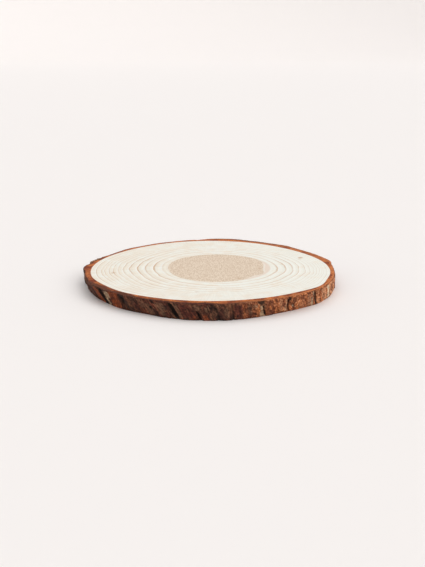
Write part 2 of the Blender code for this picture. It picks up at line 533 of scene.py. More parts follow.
def wood_fields(wood, ages, points, distance, bearings):
    """What the wood's material reads: the year, its late wood's darkness, the heartwood and the marks."""
    years, tones = ring_fields(ages, bearings)
    share = distance / TRUNK.radius
    inside = heart_edge(bearings)[None] - share
    core = inside - heart_bite(bearings)[None]
    heart = smooth_step(-0.008, 0.012, core)
    bitten = smooth_step(0.03, 0.05, heart_bite(bearings))[None]
    marks = np.zeros(distance.shape)
    for right, back, radius, dark in MARKS:
        away = np.hypot(*(points - TRUNK.axis - np.array([right, back]) * MM).transpose(2, 0, 1))
        marks = np.maximum(marks, dark * (1 - smooth_step(0.4, 1.3, away / (radius * MM))))
    turns = np.radians(bearings)
    rays = np.stack([np.cos(turns) + 0 * share, np.sin(turns) + 0 * share, share], axis=-1)
    return {
        "year": years[:, None] + 0 * share,
        "late_wood": tones * round_trunk(LATE_WOOD_ROUND, bearings)[None],
        "heartwood": heart,
        "heart_fringe": smooth_step(-0.010, 0.010, inside) * (1 - heart),
        "heart_seam": 0.6 * bitten * smooth_step(-0.018, -0.011, core) * (1 - smooth_step(-0.009, -0.002, core)),
        "marks": marks,
        "rays": rays,
    }


def sawn_level(ages, points, fields, relief):
    """How far the sawn face lies below its highest points: early wood wears down more than late wood."""
    late = (fields["year"] % 1) ** 3
    fibres = noise_at(np.dstack([points * (900, 500), 0 * points[..., 0] + 0.5]))
    torn = noise_at(np.dstack([points * (620, 300), 0 * points[..., 0] + 7.5]))
    depth = relief * (0.55 * (1 - late) + 0.20 * (1 + fibres) / 2)
    depth += relief * fields["heartwood"] * 0.8 * (1 + torn) / 2
    return depth * (1 - smooth_step(0.985, 1.0, ages))[:, None]


def sawn_wood_piece(wood, material):
    """The wood as one closed disc, on rings about the pith, from the top face round to the underside."""
    angles = np.arange(WOOD_COLUMNS) * 360 / WOOD_COLUMNS
    rings, fields = [], []
    for stations, top in ((TOP_STATIONS, True), (UNDER_STATIONS, False)):
        ages = np.linspace(0, 1, stations + 1)[1:]
        points, distance, bearings = ring_points(wood, ages, angles)
        found = wood_fields(wood, ages, points, distance, bearings)
        depth = sawn_level(ages, points, found, wood.relief)
        if not top:
            found["marks"] *= 0
        level = TRUNK.top - depth if top else TRUNK.foot + depth
        rows = slice(None) if top else slice(None, None, -1)
        rings.append(np.dstack([points, level])[rows])
        fields.append({label: values[rows] for label, values in found.items()})
    grid = np.concatenate(rings)
    rows = len(grid)
    pith = [grid[0].mean(axis=0), grid[-1].mean(axis=0)]
    points = np.concatenate([grid.reshape(-1, 3), pith])
    faces = grid_faces(rows, WOOD_COLUMNS, closed=False).tolist()
    last = rows * WOOD_COLUMNS
    for column in range(WOOD_COLUMNS):
        beside = (column + 1) % WOOD_COLUMNS
        faces.append([last, column, beside])
        faces.append([last + 1, last - WOOD_COLUMNS + beside, last - WOOD_COLUMNS + column])
    joined = {}
    for label in fields[0]:
        both = np.concatenate([fields[0][label], fields[1][label]])
        flat = both.reshape(-1, 3) if both.ndim == 3 else both.ravel()
        at_pith = 1.0 if label == "heartwood" else 0.0
        ends = [flat[0] * at_pith, flat[-1] * at_pith]
        joined[label] = np.concatenate([flat, ends])
    return new_piece("sawn_wood", points, faces, joined, [material])


def sawn_pine(wood):
    """Kiln-dried pine, sawn across the grain and sanded.

    It gives cream sapwood with thin tan rings of late wood, a beige heartwood that tears into fine dabs under the
    saw, and hardly any shine.
    """
    made, tree, output = new_material("kiln_dried_sawn_pine")
    place = add_node(tree, "ShaderNodeTexCoord")
    year = add_node(tree, "ShaderNodeAttribute", {"attribute_name": "year"})
    tone = add_node(tree, "ShaderNodeAttribute", {"attribute_name": "late_wood"})
    heart = add_node(tree, "ShaderNodeAttribute", {"attribute_name": "heartwood"})
    fringe = add_node(tree, "ShaderNodeAttribute", {"attribute_name": "heart_fringe"})
    seam = add_node(tree, "ShaderNodeAttribute", {"attribute_name": "heart_seam"})
    marks = add_node(tree, "ShaderNodeAttribute", {"attribute_name": "marks"})
    rays = add_node(tree, "ShaderNodeAttribute", {"attribute_name": "rays"})

    # Each year's growth darkens slowly, then ends at a thin line
    through = add_node(tree, "ShaderNodeMath", {"operation": "FRACT"}, {0: (year, "Fac")})
    summer = add_node(
        tree,
        "ShaderNodeMapRange",
        {"interpolation_type": "SMOOTHSTEP", "From Min": 0.72, "From Max": 0.92},
        {"Value": (through, 0)},
    )
    winter = add_node(
        tree,
        "ShaderNodeMapRange",
        {"interpolation_type": "SMOOTHSTEP", "From Min": 1.0, "From Max": 0.97},
        {"Value": (through, 0)},
    )
    line = add_node(tree, "ShaderNodeMath", {"operation": "MULTIPLY"}, {0: (summer, 0), 1: (winter, 0)})
    patchy = add_node(
        tree,
        "ShaderNodeTexNoise",
        {"Scale": 1 / (14 * MM), "Detail": 2.0},
        {"Vector": (place, "Object")},
    )
    fading = add_node(
        tree,
        "ShaderNodeMapRange",
        {"From Min": 0.30, "From Max": 0.62, "To Min": 0.35, "To Max": 1.0},
        {"Value": (patchy, "Fac")},
    )
    toned = add_node(tree, "ShaderNodeMath", {"operation": "MULTIPLY"}, {0: (line, 0), 1: (tone, "Fac")})
    ring = add_node(tree, "ShaderNodeMath", {"operation": "MULTIPLY"}, {0: (toned, 0), 1: (fading, 0)})

    # Sapwood, a little warmer and cooler from place to place, and warmer and darker on the left, where the darkening
    # is painted shade
    drift = add_node(
        tree,
        "ShaderNodeTexNoise",
        {"Scale": 1 / (9 * MM), "Detail": 4.0, "Roughness": 0.6},
        {"Vector": (place, "Object")},
    )
    sides = add_node(tree, "ShaderNodeSeparateXYZ", links={"Vector": (rays, "Vector")})
    drift_and_left_shade = add_node(
        tree,
        "ShaderNodeMath",
        {"operation": "MULTIPLY_ADD", 1: -0.10},
        {0: (sides, "X"), 2: (drift, "Fac")},
    )
    warmth_and_left_shade = add_node(
        tree,
        "ShaderNodeMapRange",
        {"interpolation_type": "SMOOTHSTEP", "From Min": 0.38, "From Max": 0.66},
        {"Value": (drift_and_left_shade, 0)},
    )
    sapwood = add_node(
        tree,
        "ShaderNodeMix",
        {"data_type": "RGBA", MIX_A: opaque(wood.sapwood), MIX_B: opaque(wood.sapwood_warm_and_shaded)},
        {MIX_FACTOR: (warmth_and_left_shade, 0)},
    )
    spring = add_node(
        tree,
        "ShaderNodeMapRange",
        {"interpolation_type": "SMOOTHSTEP", "From Min": 0.45, "From Max": 0.05, "To Max": 0.6},
        {"Value": (through, 0)},
    )
    brightened = add_node(
        tree,
        "ShaderNodeMix",
        {"data_type": "RGBA", MIX_B: opaque(wood.early_wood)},
        {MIX_FACTOR: (spring, 0), MIX_A: (sapwood, MIX_RESULT)},
    )
    ringed = add_node(
        tree,
        "ShaderNodeMix",
        {"data_type": "RGBA", MIX_B: opaque(wood.late_wood)},
        {MIX_FACTOR: (ring, 0), MIX_A: (brightened, MIX_RESULT)},
    )

    # Growth that came in fits within the year: three or four faint bands to each
    seasons = add_node(tree, "ShaderNodeMath", {"operation": "MULTIPLY", 1: 3.7}, {0: (year, "Fac")})
    bands = add_node(
        tree,
        "ShaderNodeTexNoise",
        {"noise_dimensions": "1D", "Scale": 1.0, "Detail": 2.0},
        {"W": (seasons, 0)},
    )
    band_tint = add_node(
        tree,
        "ShaderNodeMapRange",
        {"From Min": 0.32, "From Max": 0.68, "To Min": 0.945, "To Max": 1.02},
        {"Value": (bands, "Fac")},
    )
    banded = add_node(
        tree,
        "ShaderNodeVectorMath",
        {"operation": "SCALE"},
        {0: (ringed, MIX_RESULT), "Scale": (band_tint, 0)},
    )

    # Medullary rays: finer than they can show, so they are drawn 0.6 mm wide
    spokes = add_node(
        tree,
        "ShaderNodeMapping",
        {"Scale": (120.0, 120.0, 7.0)},
        {"Vector": (rays, "Vector")},
    )
    ray = add_node(tree, "ShaderNodeTexNoise", {"Scale": 1.0, "Detail": 2.0}, {"Vector": (spokes, 0)})
    ray_tint = add_node(
        tree,
        "ShaderNodeMapRange",
        {"From Min": 0.35, "From Max": 0.65, "To Min": 0.965, "To Max": 1.02},
        {"Value": (ray, "Fac")},
    )
    rayed = add_node(
        tree,
        "ShaderNodeVectorMath",
        {"operation": "SCALE"},
        {0: (banded, 0), "Scale": (ray_tint, 0)},
    )

    # Heartwood: the saw leaves dabs of torn fibre about 0.7 mm across and 2.3 mm long
    along_cut = add_node(
        tree,
        "ShaderNodeMapping",
        {"Scale": (1.0, 0.30, 1.0)},
        {"Vector": (place, "Object")},
    )
    dabs = add_node(
        tree,
        "ShaderNodeTexNoise",
        {"Scale": 1 / (0.7 * MM), "Detail": 1.5, "Roughness": 0.6},
        {"Vector": (along_cut, 0)},
    )
    dab = add_node(
        tree,
        "ShaderNodeMapRange",
        {"interpolation_type": "SMOOTHSTEP", "From Min": 0.34, "From Max": 0.66},
        {"Value": (dabs, "Fac")},
    )
    heartwood = add_node(
        tree,
        "ShaderNodeMix",
        {"data_type": "RGBA", MIX_A: opaque(wood.heartwood), MIX_B: opaque(wood.heart_dabs)},
        {MIX_FACTOR: (dab, 0)},
    )
    faint_ring = add_node(tree, "ShaderNodeMath", {"operation": "MULTIPLY", 1: 0.8}, {0: (ring, 0)})
    heart_ringed = add_node(
        tree,
        "ShaderNodeMix",
        {"data_type": "RGBA", MIX_B: opaque(wood.heart_rings)},
        {MIX_FACTOR: (faint_ring, 0), MIX_A: (heartwood, MIX_RESULT)},
    )
    ragged = add_node(
        tree,
        "ShaderNodeMath",
        {"operation": "MULTIPLY_ADD", 1: 0.5, 2: -0.25},
        {0: (dabs, "Fac")},
    )
    heart_sum = add_node(tree, "ShaderNodeMath", {"operation": "ADD"}, {0: (heart, "Fac"), 1: (ragged, 0)})
    heart_edge_mask = add_node(
        tree,
        "ShaderNodeMapRange",
        {"interpolation_type": "SMOOTHSTEP", "From Min": 0.25, "From Max": 0.75},
        {"Value": (heart_sum, 0)},
    )
    fringed = add_node(
        tree,
        "ShaderNodeMix",
        {"data_type": "RGBA", MIX_B: opaque(wood.heart_fringe)},
        {MIX_FACTOR: (fringe, "Fac"), MIX_A: (rayed, 0)},
    )
    seamed = add_node(
        tree,
        "ShaderNodeMix",
        {"data_type": "RGBA", MIX_B: opaque(wood.sapwood)},
        {MIX_FACTOR: (seam, "Fac"), MIX_A: (fringed, MIX_RESULT)},
    )
    hearted = add_node(
        tree,
        "ShaderNodeMix",
        {"data_type": "RGBA"},
        {MIX_FACTOR: (heart_edge_mask, 0), MIX_A: (seamed, MIX_RESULT), MIX_B: (heart_ringed, MIX_RESULT)},
    )
    marked = add_node(
        tree,
        "ShaderNodeMix",
        {"data_type": "RGBA", MIX_B: opaque(wood.mark)},
        {MIX_FACTOR: (marks, "Fac"), MIX_A: (hearted, MIX_RESULT)},
    )

    # The cut ends of the wood cells, 0.4 mm across as drawn, with the late wood standing proud
    cells = add_node(
        tree,
        "ShaderNodeTexNoise",
        {"Scale": 1 / (0.4 * MM), "Detail": 2.0},
        {"Vector": (place, "Object")},
    )
    height = add_node(tree, "ShaderNodeMath", {"operation": "ADD"}, {0: (cells, "Fac"), 1: (ring, 0)})
    dabbed = add_node(tree, "ShaderNodeMath", {"operation": "MULTIPLY"}, {0: (dab, 0), 1: (heart, "Fac")})
    surface = add_node(tree, "ShaderNodeMath", {"operation": "SUBTRACT"}, {0: (height, 0), 1: (dabbed, 0)})
    raised = add_node(
        tree,
        "ShaderNodeBump",
        {"Strength": 0.35, "Distance": 0.05 * MM},
        {"Height": (surface, 0)},
    )
    dull = add_node(
        tree,
        "ShaderNodeMapRange",
        {"To Min": 0.62, "To Max": 0.78},
        {"Value": (cells, "Fac")},
    )
    shader = add_node(
        tree,
        "ShaderNodeBsdfPrincipled",
        {"IOR": 1.53, "Specular IOR Level": 0.35},
        {"Base Color": (marked, MIX_RESULT), "Roughness": (dull, 0), "Normal": (raised, 0)},
    )
    tree.links.new(shader.outputs[0], output.inputs["Surface"])
    return made


# The bark


def follow_grain(grain, heights):
    """The angles, at these heights, of the lines of grain that pass mid-height at the given angles."""
    return grain + round_trunk(GRAIN_LEANS, grain) * (0.5 - heights)


def grain_noise(grain, levels, size_mm, stretch, number):
    """Noise whose lumps are this wide and stretched along the bark's grain. Each number gives its own."""
    turns = np.radians(grain)
    across = TRUNK.radius / (size_mm * MM)
    along = size_mm * MM * stretch
    places = np.stack(
        [np.cos(turns) * across + 0 * levels, np.sin(turns) * across + 0 * levels, levels / along + 31.7 * number],
        axis=-1,
    )
    return noise_at(places)


def unseen_patches():
    """Patches at a natural spacing for the stretch that the photo doesn't show."""
    draw = random.Random(UNSEEN_SEED)
    found = {kind: [] for kind in PATCHES}
    angle, end = UNSEEN_BARK
    while angle < end:
        kind = draw.choice(("rust", "maroon", "brown", "brown", "pale", "dark", "dark"))
        half_width = draw.uniform(0.6, 1.4) if kind in ("pale", "dark") else draw.uniform(1.4, 3.4)
        lower, upper = draw.choice(((-0.1, 0.9), (-0.1, 0.5), (0.3, 0.95), (0.1, 1.05)))
        found[kind].append((angle, half_width, lower, upper, draw.uniform(0.5, 0.95)))
        angle += draw.uniform(1.5, 6.0)
    return found


def patch_cover(places, grain, heights, ragged):
    """How strongly the listed places cover each point of the wall, with edges that a noise makes ragged."""
    cover = np.zeros(grain.shape)
    for middle, half_width, lower, upper, strength in places:
        degrees = math.degrees(half_width * MM / TRUNK.radius)
        across = np.abs((grain - middle + 180) % 360 - 180) / degrees + 0.45 * ragged
        up = np.minimum(heights - lower, upper - heights) / 0.10 + 0.8 * ragged
        patch = (1 - smooth_step(0.75, 1.15, across)) * smooth_step(0.0, 1.0, up)
        cover = np.maximum(cover, strength * patch)
    return cover


class BarkWall:
    """The wall as the frame has it, on lines of grain, with its fissures told apart from its plates."""

    FISSURE_REACH = 10  # columns to either side that a fissure's sides may span
    FACET_REACH = 2  # columns over which the solid's facets are smoothed away

    def __init__(self, bark):
        self.grain = np.arange(BARK_COLUMNS)[None, :] * 360 / BARK_COLUMNS + np.zeros((WALL_ROWS, 1))
        self.heights = np.linspace(1, 0, WALL_ROWS)[:, None] + 0 * self.grain
        self.turned = follow_grain(self.grain, self.heights)
        frontness = 0.5 - 0.5 * np.sin(np.radians(self.turned))
        lip = TRUNK.top - bark.back_drop - (bark.front_drop - bark.back_drop) * frontness
        foot = TRUNK.foot + bark.foot_drop
        self.levels = foot + self.heights * (lip - foot)
        probe = np.clip(self.levels, TRUNK.foot + 0.15 * MM, lip - 0.05 * MM)
        measured = spread_round(TRUNK.wall(self.turned, probe), self.FACET_REACH)
        plates = spread_round(highest_round(measured, self.FISSURE_REACH), self.FISSURE_REACH)
        self.worn = round_trunk(WORN_BARK, self.grain)
        cracked = (plates - measured) / MM
        self.fissure = np.clip((cracked - 0.3 - 0.3 * self.worn) / 0.6, 0, 1)
        self.measured = measured + 0.4 * self.worn * (plates - measured)


def bark_relief(wall, bark):
    """How deep each point of the wall lies in its scales, grit and fissures, and what its material reads."""
    grain, levels = wall.grain, wall.levels
    scales = grain_noise(grain, levels, 3.2, 2.0, 1) + 0.5 * grain_noise(grain, levels, 1.5, 2.0, 2)
    stepped = scales * 3.0 + 3.0
    step = np.floor(stepped)
    layer = step + smooth_step(0.55, 1.0, stepped - step)
    strings = grain_noise(grain, levels, 0.9, 4.0, 3)
    grit = grain_noise(grain, levels, 0.75, 1.2, 4)
    ragged = grain_noise(grain, levels, 1.3, 1.8, 5)
    fissure = smooth_step(0.15, 0.75, wall.fissure + 0.20 * ragged * (wall.fissure > 0.02))
    unseen = unseen_patches()
    fields = {
        kind: patch_cover([*places, *unseen[kind]], grain, wall.heights, ragged)
        for kind, places in PATCHES.items()
    }
    depth = bark.scale_step * (3.2 - layer) / 3
    depth += bark.scale_step * (0.20 * strings + (0.25 + 0.35 * wall.worn) * grit)
    depth += bark.scale_step * (1.6 * fissure + 0.8 * fields["dark"] - 0.2 * fields["rust"])
    edge = np.minimum(wall.heights, 1 - wall.heights) * TRUNK.thickness
    rounding = 0.2 * MM * (1 - np.clip(edge / (0.5 * MM), 0, 1)) ** 2
    # The fissures' near-black is partly their own dark and partly painted shade in the cracks
    fields["fissure"] = fissure * (1 - 0.9 * fields["pale"])
    fields["scale_layer"] = layer / 6
    fields["worn"] = wall.worn
    return np.maximum(depth, 0) + rounding - bark.swell, fields


def inside_box(points):
    """Keeps points that stand proud of the wall inside the solid's box."""
    low, high = (np.array(corner) + side * 0.02 * MM for corner, side in zip(CAD_BOX, (1, -1)))
    return np.clip(points, low, high)


def bark_rim(wall, radii, row, bark, top):
    """The bark's sawn edge, from the wood out to the wall: points, and how far through the bark they are."""
    rows = RIM_ROWS if top else UNDER_RIM_ROWS
    grain, turned = wall.grain[row], wall.turned[row]
    share = (np.arange(rows) / rows)[:, None] + 0 * grain[None]
    inner = TRUNK.cambium(turned)[None]
    across = inner + share * (radii[row][None] - inner)
    layers = grain_noise(grain[None] + 0 * share, across, 1.5, 0.35, 6)
    crumbs = grain_noise(grain[None] + 0 * share, across, 0.9, 1.0, 7)
    dips = bark.rim_relief * (0.4 + 0.5 * layers + 0.4 * crumbs) * smooth_step(0, 0.2, share)
    sawn = TRUNK.top if top else TRUNK.foot
    level = sawn + share * (wall.levels[row][None] - sawn)
    level = level - np.maximum(dips, 0) if top else level + np.maximum(dips, 0)
    return TRUNK.point(turned[None] + 0 * share, across, level), share


def grain_places(points, grain):
    """Where each point would be if the bark's grain stood upright."""
    turns = np.radians(grain)
    reach = np.hypot(points[..., 0] - TRUNK.axis[0], points[..., 1] - TRUNK.axis[1])
    return np.stack([np.cos(turns) * reach, np.sin(turns) * reach, points[..., 2]], axis=-1).reshape(-1, 3)


def lay_out_bark(mesh, grid):
    """Lays the ring of bark out flat, cut into lengths that lie above each other, so that it can be baked sharply."""
    steps = np.linalg.norm(np.roll(grid, -1, axis=0) - grid, axis=-1).mean(axis=1)
    steps[-(CORE_ROWS + 1) :] *= 0.1  # the inner side, which nothing shows
    way_round = np.concatenate([[0], np.cumsum(steps)]) / steps.sum()
    row, column = np.divmod(np.arange(len(mesh.polygons)), BARK_COLUMNS)
    in_length = BARK_COLUMNS // LAYOUT_LENGTHS
    length, place = np.divmod(column, in_length)
    across = (place[:, None] + np.array([0, 0, 1, 1])) / in_length
    up = way_round[row[:, None] + np.array([0, 1, 1, 0])]
    side_gap, end_gap = LAYOUT_GAPS
    across = side_gap + across * (1 - 2 * side_gap)
    up = (length[:, None] + end_gap + up * (1 - 2 * end_gap)) / LAYOUT_LENGTHS
    layout = mesh.uv_layers.new(name=LAYOUT_NAME)
    layout.uv.foreach_set("vector", np.stack([across, up], axis=-1).astype(np.float32).ravel())


def bark_piece(wall, radii, fields, bark, materials):
    """The bark as one closed ring: its sawn top edge, its wall, its sawn under edge and its inner side."""
    walls = inside_box(TRUNK.point(wall.turned, radii, wall.levels))
    upper, upper_share = bark_rim(wall, radii, 0, bark, top=True)
    lower, lower_share = bark_rim(wall, radii, -1, bark, top=False)
    up = (np.arange(1, CORE_ROWS + 1) / (CORE_ROWS + 1))[:, None] + 0 * wall.grain[:1]
    core_turned = follow_grain(wall.grain[:1], up)
    core = TRUNK.point(core_turned, TRUNK.cambium(core_turned), TRUNK.foot + up * TRUNK.thickness)
    grid = np.concatenate([upper, walls, lower[::-1], core])
    share = np.concatenate([upper_share, np.ones(wall.grain.shape), lower_share[::-1], 0 * up])
    nearest = np.concatenate(
        [
            np.zeros(RIM_ROWS, int),
            np.arange(WALL_ROWS),
            np.full(UNDER_RIM_ROWS, WALL_ROWS - 1),
            np.full(CORE_ROWS, 0),
        ]
    )
    joined = {label: values[nearest].ravel() for label, values in fields.items()}
    joined["through_bark"] = share.ravel()
    joined["inner_bark"] = (round_trunk(BARK_CUT, wall.grain[:1], 1) + 0 * share).ravel()
    joined["inner_tone"] = (round_trunk(BARK_CUT, wall.grain[:1], 2) + 0 * share).ravel()
    joined["grain"] = grain_places(grid, wall.grain[:1] + 0 * share)
    up_wall = (grid[..., 2] - TRUNK.foot) / TRUNK.thickness
    joined["fibre"] = grain_places(grid, wall.grain[:1] + FIBRE_LEAN * (up_wall - 0.5))
    faces = grid_faces(len(grid), BARK_COLUMNS, closed=True)
    piece = new_piece("bark", grid.reshape(-1, 3), faces.tolist(), joined, materials)
    row = np.arange(len(faces)) // BARK_COLUMNS
    on_wall = (row >= RIM_ROWS) & (row < RIM_ROWS + WALL_ROWS - 1)
    piece.data.polygons.foreach_set("material_index", np.where(on_wall, 0, 1).astype(np.int32))
    lay_out_bark(piece.data, grid)
    return piece


class WallSurface:
    """The finished wall with its roughness evened out, which the loose scales lie on."""

    def __init__(self, wall, radii):
        evened = spread_round(radii, 5)
        rows = np.pad(evened, ((3, 3), (0, 0)), mode="edge")
        self.radii = sum(rows[shift : shift + WALL_ROWS] for shift in range(7)) / 7
        self.levels = wall.levels
        self.cracked = highest_round(wall.fissure.max(axis=0), 6)

    def whole_place(self, draw):
        """A random line of grain that is clear of the fissures."""
        grain = draw.uniform(0, 360)
        while self.cracked[int(grain / 360 * BARK_COLUMNS)] > 0.1:
            grain = draw.uniform(0, 360)
        return grain

    def at(self, grain, heights):
        """The wall's radius and level on these lines of grain, at these heights."""
        column = (grain / 360 * BARK_COLUMNS) % BARK_COLUMNS
        row = np.clip((1 - heights) * (WALL_ROWS - 1), 0, WALL_ROWS - 1.001)
        left, above = np.floor(column).astype(int), np.floor(row).astype(int)
        right = (left + 1) % BARK_COLUMNS
        side, down = column - left, row - above
        found = []
        for values in (self.radii, self.levels):
            upper = values[above, left % BARK_COLUMNS] * (1 - side) + values[above, right] * side
            lower = values[above + 1, left % BARK_COLUMNS] * (1 - side) + values[above + 1, right] * side
            found.append(upper * (1 - down) + lower * down)
        return found


def loose_scale(draw, surface):
    """One thin scale of bark with a ragged outline and curling edges: its points, faces and grain."""
    rings, corners = 4, 18
    middle, height = surface.whole_place(draw), draw.uniform(0.15, 0.80)
    half_width, half_length = draw.uniform(*SCALE_WIDTHS), draw.uniform(*SCALE_LENGTHS)
    thickness, curl = draw.uniform(0.22, 0.38), draw.uniform(0.0, 0.35)
    turns = np.arange(corners) * 2 * np.pi / corners
    jags = np.array([1 + draw.uniform(-0.20, 0.14) for _ in turns])
    out = np.arange(1, rings + 1)[:, None] / rings
    across = out * half_width * jags * np.cos(turns)
    along = out * half_length * jags * np.sin(turns)
    lift = curl * out**3 * (0.5 + 0.5 * np.sin(turns + draw.uniform(0, 6.3)))
    front = lift + thickness * (1 - 0.35 * out**2)
    behind = lift - 0.15
    across = np.concatenate([across, across[::-1]])
    along = np.concatenate([along, along[::-1]])
    proud = np.concatenate([front, behind[::-1]])
    ends = [(0.0, 0.0, thickness), (0.0, 0.0, -0.15)]
    flat = [
        np.append(values.ravel(), [end[number] for end in ends])
        for number, values in enumerate((across, along, proud))
    ]
    grain = middle + np.degrees(flat[0] * MM / TRUNK.radius)
    heights = np.clip(height + flat[1] * MM / TRUNK.thickness, 0.01, 0.97)
    radii, levels = surface.at(grain, heights)
    points = TRUNK.point(follow_grain(grain, heights), radii + flat[2] * MM, levels)
    faces = grid_faces(2 * rings, corners, closed=False).tolist()
    last = 2 * rings * corners
    for corner in range(corners):
        beside = (corner + 1) % corners
        faces.append([last, corner, beside])
        faces.append([last + 1, last - corners + beside, last - corners + corner])
    return inside_box(points), faces, grain


def sprung_scale(surface):
    """The big scale that has sprung away from the rim at its top, and still holds at its foot and its ends."""
    columns, rows = 40, 12
    start, end = SPRUNG_SCALE
    side = np.linspace(0, 1, columns)[None, :] + np.zeros((rows, 1))
    up = np.linspace(1, 0, rows)[:, None] + 0 * side
    grain = start + side * (end - start)
    ragged = noise_at(np.stack([side * 14, up * 4, 0 * side], axis=-1))
    heights = SPRUNG_FOOT + up * (1.0 - SPRUNG_FOOT) - 0.09 * (0.5 + ragged) * up
    radii, levels = surface.at(grain, heights)
    arch = np.sin(np.pi * side) ** 1.4
    gap = SPRUNG_GAP_MM * arch * up**0.8 + 0.45 * ragged * arch - 0.12
    thick = SPRUNG_THICKNESS_MM * (0.25 + 0.75 * arch) * (0.75 + 0.25 * up) + 0.12
    sheets = [
        TRUNK.point(follow_grain(grain, heights), radii + proud * MM, levels) for proud in (gap + thick, gap)
    ]
    outer, inner = (inside_box(sheet).reshape(-1, 3) for sheet in sheets)
    count = rows * columns
    faces = []
    for row in range(rows - 1):
        for column in range(columns - 1):
            here = row * columns + column
            quad = [here, here + columns, here + columns + 1, here + 1]
            faces.append(quad)
            faces.append([corner + count for corner in reversed(quad)])
    rim = [column for column in range(columns)]
    rim += [row * columns + columns - 1 for row in range(1, rows)]
    rim += [(rows - 1) * columns + column for column in range(columns - 2, -1, -1)]
    rim += [row * columns for row in range(rows - 2, 0, -1)]
    for here, beside in zip(rim, rim[1:] + rim[:1]):
        faces.append([here, beside, beside + count, here + count])
    return np.concatenate([outer, inner]), faces, np.concatenate([grain.ravel(), grain.ravel()])


def scale_pieces(surface, materials):
    """All the loose scales as one mesh, with what their material reads. The sprung one is the last of them."""
    draw = random.Random(SCALE_SEED)
    points, faces, grain, fields = [], [], [], {kind: [] for kind in PATCHES}
    shapes = []
    for _ in range(LOOSE_SCALES):
        shapes.append((loose_scale(draw, surface), draw.choice(("brown", "maroon", None))))
    shapes.append((sprung_scale(surface), "rust"))
    count = 0
    for (places, corners, lines), tint in shapes:
        faces += [[corner + count for corner in face] for face in corners]
        points.append(places)
        grain.append(lines)
        for kind in PATCHES:
            fields[kind].append(np.full(len(places), 0.6 if kind == tint else 0.0))
        count += len(places)
    points, grain = np.concatenate(points), np.concatenate(grain)
    joined = {kind: np.concatenate(values) for kind, values in fields.items()}
    inner_side = np.arange(count) >= count - len(places) // 2
    joined["pale"] = np.where(inner_side, 1.0, joined["pale"])
    joined["fissure"] = np.zeros(count)
    joined["scale_layer"] = np.full(count, 0.7)
    joined["worn"] = round_trunk(WORN_BARK, grain)
    joined["grain"] = grain_places(points, grain)
    joined["fibre"] = joined["grain"]
    return new_piece("bark_scales", points, faces, joined, materials)


